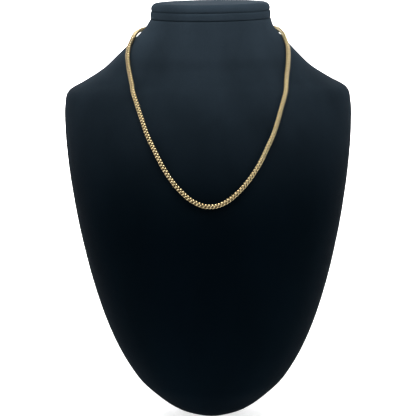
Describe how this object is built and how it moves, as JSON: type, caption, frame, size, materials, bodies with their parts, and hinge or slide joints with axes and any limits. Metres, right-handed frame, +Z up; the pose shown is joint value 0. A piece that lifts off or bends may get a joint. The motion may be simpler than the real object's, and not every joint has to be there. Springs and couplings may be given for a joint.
{
  "type": "franco chain on a neck bust",
  "caption": "Gold franco chain with a square woven body, worn as a closed loop on a plain black velvet neck bust with an easel leg.",
  "frame": {"origin": "centre of the footprint box on the floor, under the bust and its foot", "axes": "+Z up, -Y towards the front of the chest, +X towards the right side as seen from the front"},
  "size_m": [0.2192, 0.1698, 0.308],
  "materials": {
    "gold": "polished",
    "black_velvet": "matte",
    "prop_board": "matte"
  },
  "bodies": {
    "root": {"bust_form": "black_velvet", "neck_cap": "black_velvet", "prop_leg": "prop_board", "prop_foot": "prop_board", "chain": "gold", "clasp": "gold"}
  },
  "joints": []
}
